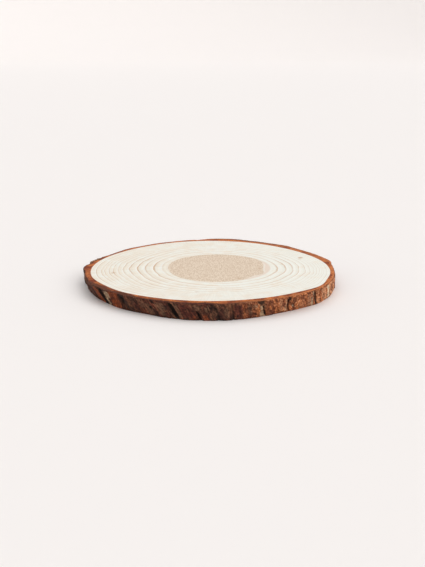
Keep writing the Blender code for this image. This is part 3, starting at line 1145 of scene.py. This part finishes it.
def weathered_bark(bark):
    """The outside of young pine bark, dried and left as it grew.

    It gives red-brown scales in thin layers under a greyer crust, black fissures between them whose black is partly
    painted shade, pale strips where a scale has dropped off, a gritty orange-brown where the crust has worn away, and
    no shine at all.
    """
    made, tree, output = new_material("weathered_pine_bark")
    grain = add_node(tree, "ShaderNodeAttribute", {"attribute_name": "grain"})
    layer = add_node(tree, "ShaderNodeAttribute", {"attribute_name": "scale_layer"})
    worn = add_node(tree, "ShaderNodeAttribute", {"attribute_name": "worn"})
    fibre = add_node(tree, "ShaderNodeAttribute", {"attribute_name": "fibre"})
    along = add_node(tree, "ShaderNodeMapping", {"Scale": (1.0, 1.0, 0.45)}, {"Vector": (grain, "Vector")})
    drawn_out = add_node(tree, "ShaderNodeMapping", {"Scale": (1.0, 1.0, 0.22)}, {"Vector": (fibre, "Vector")})
    elsewhere = add_node(tree, "ShaderNodeMapping", {"Location": (3.0, 1.0, 2.0)}, {"Vector": (along, 0)})

    # Blotches 4 mm across, strings 1 mm and grit 1.1 mm
    blotches = add_node(
        tree,
        "ShaderNodeTexNoise",
        {"Scale": 1 / (4.0 * MM), "Detail": 4.0, "Roughness": 0.65},
        {"Vector": (along, 0)},
    )
    reds = add_node(
        tree,
        "ShaderNodeTexNoise",
        {"Scale": 1 / (5.0 * MM), "Detail": 4.0, "Roughness": 0.6},
        {"Vector": (elsewhere, 0)},
    )
    strings = add_node(
        tree,
        "ShaderNodeTexNoise",
        {"Scale": 1 / (1.0 * MM), "Detail": 3.0, "Roughness": 0.65},
        {"Vector": (drawn_out, 0)},
    )
    grit = add_node(
        tree,
        "ShaderNodeTexNoise",
        {"Scale": 1 / (1.1 * MM), "Detail": 3.0, "Roughness": 0.75},
        {"Vector": (grain, "Vector")},
    )

    # The crust, dark or brown, and redder in places
    blotch = add_node(
        tree,
        "ShaderNodeMapRange",
        {"interpolation_type": "SMOOTHSTEP", "From Min": 0.38, "From Max": 0.64},
        {"Value": (blotches, "Fac")},
    )
    red = add_node(
        tree,
        "ShaderNodeMapRange",
        {"interpolation_type": "SMOOTHSTEP", "From Min": 0.45, "From Max": 0.68, "To Max": 0.75},
        {"Value": (reds, "Fac")},
    )
    crust = add_node(
        tree,
        "ShaderNodeMix",
        {"data_type": "RGBA", MIX_A: opaque(bark.crust_dark), MIX_B: opaque(bark.crust)},
        {MIX_FACTOR: (blotch, 0)},
    )
    reddened = add_node(
        tree,
        "ShaderNodeMix",
        {"data_type": "RGBA", MIX_B: opaque(bark.crust_red)},
        {MIX_FACTOR: (red, 0), MIX_A: (crust, MIX_RESULT)},
    )
    string = add_node(
        tree,
        "ShaderNodeMapRange",
        {"interpolation_type": "SMOOTHSTEP", "From Min": 0.52, "From Max": 0.72, "To Max": 0.7},
        {"Value": (strings, "Fac")},
    )
    stringy = add_node(
        tree,
        "ShaderNodeMix",
        {"data_type": "RGBA", MIX_B: opaque(bark.crust_light)},
        {MIX_FACTOR: (string, 0), MIX_A: (reddened, MIX_RESULT)},
    )

    # The bark below the crust, gritty and lighter
    bared = add_node(
        tree,
        "ShaderNodeMix",
        {"data_type": "RGBA", MIX_A: opaque(bark.bared_dark), MIX_B: opaque(bark.bared)},
        {MIX_FACTOR: (blotch, 0)},
    )
    speck = add_node(
        tree,
        "ShaderNodeMapRange",
        {"interpolation_type": "SMOOTHSTEP", "From Min": 0.54, "From Max": 0.70},
        {"Value": (grit, "Fac")},
    )
    flecked = add_node(
        tree,
        "ShaderNodeMix",
        {"data_type": "RGBA", MIX_B: opaque(bark.bared_light)},
        {MIX_FACTOR: (speck, 0), MIX_A: (bared, MIX_RESULT)},
    )
    baring = add_node(
        tree,
        "ShaderNodeMath",
        {"operation": "MULTIPLY_ADD", 1: 0.9, 2: -0.45},
        {0: (blotches, "Fac")},
    )
    worn_off = add_node(tree, "ShaderNodeMath", {"operation": "ADD"}, {0: (baring, 0), 1: (worn, "Fac")})
    bare = add_node(
        tree,
        "ShaderNodeMapRange",
        {"interpolation_type": "SMOOTHSTEP", "From Min": 0.05, "From Max": 0.85},
        {"Value": (worn_off, 0)},
    )
    colour = add_node(
        tree,
        "ShaderNodeMix",
        {"data_type": "RGBA"},
        {MIX_FACTOR: (bare, 0), MIX_A: (stringy, MIX_RESULT), MIX_B: (flecked, MIX_RESULT)},
    )
    lower = add_node(
        tree,
        "ShaderNodeMapRange",
        {"From Min": 0.65, "From Max": 0.20, "To Min": 0.0, "To Max": 0.6},
        {"Value": (layer, "Fac")},
    )
    colour = add_node(
        tree,
        "ShaderNodeMix",
        {"data_type": "RGBA", MIX_B: opaque(bark.under_scale)},
        {MIX_FACTOR: (lower, 0), MIX_A: (colour, MIX_RESULT)},
    )

    # What shows in single places. The freshly bared places towards the right end are partly painted light, and the
    # black of the dark places and fissures is partly painted shade
    for label, tint, most in (
        ("brown", bark.brown, 0.85),
        ("maroon", bark.maroon, 0.85),
        ("rust", bark.rust, 0.85),
        ("fresh_and_painted_light", bark.bared_light, 0.90),
        ("pale", bark.pale, 0.90),
        ("bleached", bark.bleached, 0.90),
        ("dark", bark.fissure, 0.85),
        ("fissure", bark.fissure, 0.97),
    ):
        place = add_node(tree, "ShaderNodeAttribute", {"attribute_name": label})
        cover = add_node(tree, "ShaderNodeMath", {"operation": "MULTIPLY", 1: most}, {0: (place, "Fac")})
        colour = add_node(
            tree,
            "ShaderNodeMix",
            {"data_type": "RGBA", MIX_B: opaque(tint)},
            {MIX_FACTOR: (cover, 0), MIX_A: (colour, MIX_RESULT)},
        )

    # Strings and grit over everything, in light and shade
    shade = add_node(
        tree,
        "ShaderNodeMapRange",
        {"From Min": 0.34, "From Max": 0.66, "To Min": 0.62, "To Max": 1.30},
        {"Value": (strings, "Fac")},
    )
    shaded = add_node(
        tree,
        "ShaderNodeVectorMath",
        {"operation": "SCALE"},
        {0: (colour, MIX_RESULT), "Scale": (shade, 0)},
    )
    peppered = add_node(
        tree,
        "ShaderNodeMapRange",
        {"interpolation_type": "SMOOTHSTEP", "From Min": 0.34, "From Max": 0.64, "To Min": 0.42, "To Max": 1.30},
        {"Value": (grit, "Fac")},
    )
    gritty = add_node(
        tree,
        "ShaderNodeVectorMath",
        {"operation": "SCALE"},
        {0: (shaded, 0), "Scale": (peppered, 0)},
    )
    height = add_node(tree, "ShaderNodeMath", {"operation": "ADD"}, {0: (strings, "Fac"), 1: (grit, "Fac")})
    raised = add_node(
        tree,
        "ShaderNodeBump",
        {"Strength": 0.7, "Distance": 0.3 * MM},
        {"Height": (height, 0)},
    )
    dull = add_node(
        tree,
        "ShaderNodeMapRange",
        {"To Min": 0.80, "To Max": 0.98},
        {"Value": (grit, "Fac")},
    )
    shader = add_node(
        tree,
        "ShaderNodeBsdfPrincipled",
        {"IOR": 1.5, "Specular IOR Level": 0.25},
        {"Base Color": (gritty, 0), "Roughness": (dull, 0), "Normal": (raised, 0)},
    )
    tree.links.new(shader.outputs[0], output.inputs["Surface"])
    return made


def sawn_bark(bark):
    """Pine bark cut through by the saw.

    It gives a band of orange-brown inner bark in fine layers, which turns dark and crumbly towards the outside.
    """
    made, tree, output = new_material("sawn_inner_bark")
    grain = add_node(tree, "ShaderNodeAttribute", {"attribute_name": "grain"})
    through = add_node(tree, "ShaderNodeAttribute", {"attribute_name": "through_bark"})
    front = add_node(tree, "ShaderNodeAttribute", {"attribute_name": "inner_bark"})
    tone = add_node(tree, "ShaderNodeAttribute", {"attribute_name": "inner_tone"})
    worn = add_node(tree, "ShaderNodeAttribute", {"attribute_name": "worn"})
    blotches = add_node(
        tree,
        "ShaderNodeTexNoise",
        {"Scale": 1 / (7.0 * MM), "Detail": 3.0},
        {"Vector": (grain, "Vector")},
    )
    crumbs = add_node(
        tree,
        "ShaderNodeTexNoise",
        {"Scale": 1 / (1.2 * MM), "Detail": 3.0, "Roughness": 0.65},
        {"Vector": (grain, "Vector")},
    )
    blotch = add_node(
        tree,
        "ShaderNodeMapRange",
        {"interpolation_type": "SMOOTHSTEP", "From Min": 0.36, "From Max": 0.62},
        {"Value": (blotches, "Fac")},
    )
    lightness = add_node(tree, "ShaderNodeMath", {"operation": "ADD"}, {0: (blotch, 0), 1: (tone, "Fac")})
    inner = add_node(
        tree,
        "ShaderNodeMix",
        {"data_type": "RGBA", MIX_A: opaque(bark.inner), MIX_B: opaque(bark.inner_light)},
        {MIX_FACTOR: (lightness, 0)},
    )
    ragged = add_node(
        tree,
        "ShaderNodeMath",
        {"operation": "MULTIPLY_ADD", 1: 1.0, 2: -0.5},
        {0: (crumbs, "Fac")},
    )
    depth = add_node(tree, "ShaderNodeMath", {"operation": "ADD"}, {0: (through, "Fac"), 1: (ragged, 0)})
    beyond = add_node(tree, "ShaderNodeMath", {"operation": "SUBTRACT"}, {0: (depth, 0), 1: (front, "Fac")})
    outer = add_node(
        tree,
        "ShaderNodeMapRange",
        {"interpolation_type": "SMOOTHSTEP", "From Min": -0.12, "From Max": 0.18},
        {"Value": (beyond, 0)},
    )
    crust = add_node(
        tree,
        "ShaderNodeMix",
        {"data_type": "RGBA", MIX_A: opaque(bark.inner_dark), MIX_B: opaque(bark.bared)},
        {MIX_FACTOR: (worn, "Fac")},
    )
    edged = add_node(
        tree,
        "ShaderNodeMix",
        {"data_type": "RGBA"},
        {MIX_FACTOR: (outer, 0), MIX_A: (inner, MIX_RESULT), MIX_B: (crust, MIX_RESULT)},
    )
    shade = add_node(
        tree,
        "ShaderNodeMapRange",
        {"From Min": 0.3, "From Max": 0.7, "To Min": 0.55, "To Max": 1.30},
        {"Value": (crumbs, "Fac")},
    )
    shaded = add_node(
        tree,
        "ShaderNodeVectorMath",
        {"operation": "SCALE"},
        {0: (edged, MIX_RESULT), "Scale": (shade, 0)},
    )
    raised = add_node(
        tree,
        "ShaderNodeBump",
        {"Strength": 0.6, "Distance": 0.2 * MM},
        {"Height": (crumbs, "Fac")},
    )
    shader = add_node(
        tree,
        "ShaderNodeBsdfPrincipled",
        {"Roughness": 0.85, "IOR": 1.5, "Specular IOR Level": 0.3},
        {"Base Color": (shaded, 0), "Normal": (raised, 0)},
    )
    tree.links.new(shader.outputs[0], output.inputs["Surface"])
    return made


# The studio


def studio_paper(studio):
    """Matt background paper. It gives an even pale ground without a shine."""
    made, tree, output = new_material("matt_studio_paper")
    place = add_node(tree, "ShaderNodeTexCoord")
    fibres = add_node(
        tree,
        "ShaderNodeTexNoise",
        {"Scale": 1 / (2 * MM), "Detail": 2.0},
        {"Vector": (place, "Object")},
    )
    raised = add_node(
        tree,
        "ShaderNodeBump",
        {"Strength": 0.05, "Distance": 0.05 * MM},
        {"Height": (fibres, "Fac")},
    )
    shader = add_node(
        tree,
        "ShaderNodeBsdfPrincipled",
        {"Base Color": opaque(studio.paper), "Roughness": 0.95, "Specular IOR Level": 0.1},
        {"Normal": (raised, 0)},
    )
    tree.links.new(shader.outputs[0], output.inputs["Surface"])
    return made


def add_floor(studio):
    """A round floor that turns up all round in a wide curve, so that it is behind the slice from every side."""
    flat, bend, rise, sectors = 8.0, 3.0, 3.9, 96
    profile = [(flat, 0.0)]
    for step in range(1, 13):
        turn = math.radians(90 * step / 12)
        profile.append((flat + bend * math.sin(turn), bend * (1 - math.cos(turn))))
    profile.append((flat + bend, rise))
    reach, up = np.array(profile).T[:, :, None]
    turns = np.radians(np.arange(sectors) * 360 / sectors)
    points = np.stack([reach * np.cos(turns), reach * np.sin(turns), up + 0 * turns], axis=-1)
    faces = [list(range(sectors)), *grid_faces(len(profile), sectors, closed=False).tolist()]
    mesh = bpy.data.meshes.new("floor")
    mesh.from_pydata(points.reshape(-1, 3).tolist(), [], faces)
    mesh.shade_smooth()
    mesh.materials.append(studio_paper(studio))
    floor = bpy.data.objects.new("floor", mesh)
    bpy.context.scene.collection.objects.link(floor)


def add_soft_light(name, bearing, height, spread, strength, colour):
    """A wide, far light that reaches everything alike. Its bearing, height and spread are in degrees."""
    data = bpy.data.lights.new(name, "SUN")
    data.angle = math.radians(spread)
    data.energy = strength
    data.color = colour
    turn, rise = math.radians(bearing), math.radians(height)
    towards = Vector((math.cos(turn) * math.cos(rise), math.sin(turn) * math.cos(rise), math.sin(rise)))
    light = bpy.data.objects.new(name, data)
    light.location = towards
    light.rotation_euler = (-towards).to_track_quat("-Z", "Y").to_euler()
    bpy.context.scene.collection.objects.link(light)


def add_camera(studio):
    """The photo's view: the trunk's axis meets the top face where it does there."""
    data = bpy.data.cameras.new("camera")
    data.sensor_width = 36.0
    data.lens = PHOTO_FOCAL / max(PHOTO_SIZE) * data.sensor_width
    axis = Vector((*TRUNK.axis, TRUNK.top))
    tilt = studio.elevation
    back = Vector((0, -math.cos(tilt), math.sin(tilt)))
    above = Vector((0, math.sin(tilt), math.cos(tilt)))
    pixel = studio.distance / PHOTO_FOCAL
    right_of_axis = PHOTO_SIZE[0] / 2 - PHOTO_AXIS[0]
    below_axis = PHOTO_SIZE[1] / 2 - PHOTO_AXIS[1]
    aim = axis + Vector((right_of_axis * pixel, 0, 0)) - above * below_axis * pixel
    camera = bpy.data.objects.new("camera", data)
    camera.location = axis + back * studio.distance
    camera.rotation_euler = (aim - camera.location).to_track_quat("-Z", "Y").to_euler()
    bpy.context.scene.collection.objects.link(camera)
    bpy.context.scene.camera = camera


def add_sky(studio):
    """An even pale light from all round."""
    world = bpy.data.worlds.new("studio_air")
    world.use_nodes = True
    ground = world.node_tree.nodes["Background"]
    ground.inputs["Color"].default_value = (1.0, 1.0, 1.0, 1.0)
    ground.inputs["Strength"].default_value = studio.fill
    bpy.context.scene.world = world


# Settings, operators and panel


def colour_setting(name, description, hex_colour):
    return FloatVectorProperty(
        name=name,
        description=description,
        subtype="COLOR",
        size=3,
        min=0,
        max=1,
        default=linear(hex_colour),
    )


class PineWoodSettings(bpy.types.PropertyGroup):
    pith_right: FloatProperty(
        name="Pith to the Right",
        description="How far right of the trunk's axis the pith lies",
        default=5.4 * MM,
        unit="LENGTH",
    )
    pith_back: FloatProperty(
        name="Pith to the Back",
        description="How far behind the trunk's axis the pith lies",
        default=0.3 * MM,
        unit="LENGTH",
    )
    relief: FloatProperty(
        name="Relief",
        description="How deep the early wood has worn below the late wood",
        default=0.06 * MM,
        unit="LENGTH",
    )
    sapwood: colour_setting("Sapwood", "The pale outer wood", "efeee4")
    # Warm Sapwood also darkens the left of the top face as painted shade
    sapwood_warm_and_shaded: colour_setting("Warm Sapwood", "The outer wood where it is warmer", "ece3d3")
    early_wood: colour_setting("Early Wood", "The palest wood, which starts each year's growth", "f9f8f2")
    late_wood: colour_setting("Late Wood", "The thin line that ends each year's growth", "cdab8a")
    heartwood: colour_setting("Heartwood", "The beige wood round the pith", "e6d5c1")
    heart_dabs: colour_setting("Heartwood Dabs", "Where the saw tore the heartwood's fibres", "d0b9a0")
    heart_rings: colour_setting("Heartwood Rings", "The late wood inside the heartwood", "c2a588")
    heart_fringe: colour_setting("Heartwood Fringe", "The band where heartwood gives way to sapwood", "e5d5c5")
    mark: colour_setting("Marks", "Small resin spots and stains", "b98f66")


class PineBarkSettings(bpy.types.PropertyGroup):
    front_drop: FloatProperty(
        name="Front Drop",
        description="How far the bark's sawn edge is worn down below the wood at the front",
        default=0.4 * MM,
        unit="LENGTH",
    )
    back_drop: FloatProperty(
        name="Back Drop",
        description="How far the bark's sawn edge is worn down below the wood at the back",
        default=0.05 * MM,
        unit="LENGTH",
    )
    foot_drop: FloatProperty(
        name="Foot Drop",
        description="How far the bark's lower edge is worn up from the underside",
        default=0.05 * MM,
        unit="LENGTH",
    )
    swell: FloatProperty(
        name="Swell",
        description="How far the bark's highest scales stand out from the solid's wall",
        default=0.25 * MM,
        unit="LENGTH",
    )
    rim_relief: FloatProperty(
        name="Rim Relief",
        description="How rough the saw left the cut through the bark",
        default=0.22 * MM,
        unit="LENGTH",
    )
    scale_step: FloatProperty(
        name="Scale Step",
        description="How deep the steps between the bark's scales are",
        default=0.40 * MM,
        unit="LENGTH",
    )
    least: FloatProperty(
        name="Least Thickness",
        description="How thick the bark still is at the bottom of a fissure",
        default=0.6 * MM,
        unit="LENGTH",
    )
    crust_dark: colour_setting("Dark Crust", "The oldest outer bark", "35201a")
    crust: colour_setting("Crust", "The outer bark", "65422f")
    crust_red: colour_setting("Red Crust", "The outer bark where it is redder", "6a2f1f")
    crust_light: colour_setting("Light Crust", "Dry strings on the outer bark", "80563f")
    bared: colour_setting("Bared Bark", "Bark whose crust has worn off", "cc7a47")
    bared_dark: colour_setting("Dark Bared Bark", "Bark whose crust has half worn off", "8c4b2c")
    # It also colours the freshly bared places, which towards the right end are partly painted light
    bared_light: colour_setting("Light Bared Bark", "Fresh grains in bark whose crust has worn off", "e2a47a")
    under_scale: colour_setting("Under the Scales", "The lower layers between the scales", "4a2418")
    brown: colour_setting("Brown Scales", "Old scales that are still whole", "70513d")
    maroon: colour_setting("Maroon Scales", "Scales that are dark red", "54281f")
    rust: colour_setting("Rusty Scales", "Scales that have just lost their crust", "8a421f")
    pale: colour_setting("Pale Scars", "Strips where a scale has dropped off", "b29778")
    bleached: colour_setting("Bleached Scars", "The palest strips, dried out and bleached", "e6cdac")
    # This near-black is also painted shade at the bottoms of the fissures and in the dark places
    fissure: colour_setting("Fissures", "The bottom of the fissures", "1c110c")
    inner: colour_setting("Inner Bark", "The living bark beside the wood, cut through", "83381a")
    inner_light: colour_setting("Light Inner Bark", "The inner bark where it is lighter", "c8743c")
    inner_dark: colour_setting("Dark Inner Bark", "The cut through the outer crust", "4a1f10")


class PineStudioSettings(bpy.types.PropertyGroup):
    elevation: FloatProperty(
        name="Elevation",
        description="How far above the slice's top face the camera looks from",
        default=math.radians(15.2),
        subtype="ANGLE",
    )
    distance: FloatProperty(
        name="Distance",
        description="From the camera to the middle of the top face",
        default=0.501,
        unit="LENGTH",
    )
    key: FloatProperty(name="Key Light", description="Strength of the light from the right", default=1.3)
    overhead: FloatProperty(name="Overhead Light", description="Strength of the light above", default=0.8)
    fill: FloatProperty(name="Fill", description="Brightness of the light from all round", default=0.55)
    paper: colour_setting("Paper", "The floor and backdrop", "f4f0ee")


class AddSawnWood(bpy.types.Operator):
    """Add the slice's wood, with its growth rings and heartwood"""

    bl_idname = "pine_slice.add_sawn_wood"
    bl_label = "Add Sawn Wood"

    def execute(self, context):
        wood = context.scene.pine_wood
        sawn_wood_piece(wood, sawn_pine(wood))
        return {"FINISHED"}


class AddBark(bpy.types.Operator):
    """Add the ring of bark round the wood, and its loose scales"""

    bl_idname = "pine_slice.add_bark"
    bl_label = "Add Bark"

    def execute(self, context):
        bark = context.scene.pine_bark
        wall = BarkWall(bark)
        depth, fields = bark_relief(wall, bark)
        radii = np.maximum(wall.measured - depth, TRUNK.cambium(wall.turned) + bark.least)
        outside, cut = weathered_bark(bark), sawn_bark(bark)
        bark_piece(wall, radii, fields, bark, [outside, cut])
        scale_pieces(WallSurface(wall, radii), [outside])
        return {"FINISHED"}


class AddStudio(bpy.types.Operator):
    """Add the floor, the lights and the camera"""

    bl_idname = "pine_slice.add_studio"
    bl_label = "Add Studio"

    def execute(self, context):
        studio = context.scene.pine_studio
        add_floor(studio)
        add_soft_light("overhead_light", 90, 70, 60, studio.overhead, (1.0, 1.0, 1.0))
        add_soft_light("right_light", -42, 34, 50, studio.key, (1.0, 0.98, 0.96))
        add_sky(studio)
        add_camera(studio)
        context.scene.view_settings.view_transform = "Standard"
        return {"FINISHED"}


class PineSlicePanel(bpy.types.Panel):
    bl_idname = "PINESLICE_PT_panel"
    bl_label = "Pine Slice"
    bl_space_type = "VIEW_3D"
    bl_region_type = "UI"
    bl_category = "Pine Slice"

    def draw(self, context):
        for operator, settings in (
            (AddSawnWood, context.scene.pine_wood),
            (AddBark, context.scene.pine_bark),
            (AddStudio, context.scene.pine_studio),
        ):
            box = self.layout.box()
            box.operator(operator.bl_idname)
            for name in settings.__annotations__:
                box.prop(settings, name)


CLASSES = (
    PineWoodSettings,
    PineBarkSettings,
    PineStudioSettings,
    AddSawnWood,
    AddBark,
    AddStudio,
    PineSlicePanel,
)


def register():
    for cls in CLASSES:
        bpy.utils.register_class(cls)
    bpy.types.Scene.pine_wood = PointerProperty(type=PineWoodSettings)
    bpy.types.Scene.pine_bark = PointerProperty(type=PineBarkSettings)
    bpy.types.Scene.pine_studio = PointerProperty(type=PineStudioSettings)


def unregister():
    del bpy.types.Scene.pine_wood
    del bpy.types.Scene.pine_bark
    del bpy.types.Scene.pine_studio
    for cls in reversed(CLASSES):
        bpy.utils.unregister_class(cls)


def main():
    register()
    bpy.ops.pine_slice.add_sawn_wood()
    bpy.ops.pine_slice.add_bark()
    bpy.ops.pine_slice.add_studio()


if __name__ == "__main__":
    main()
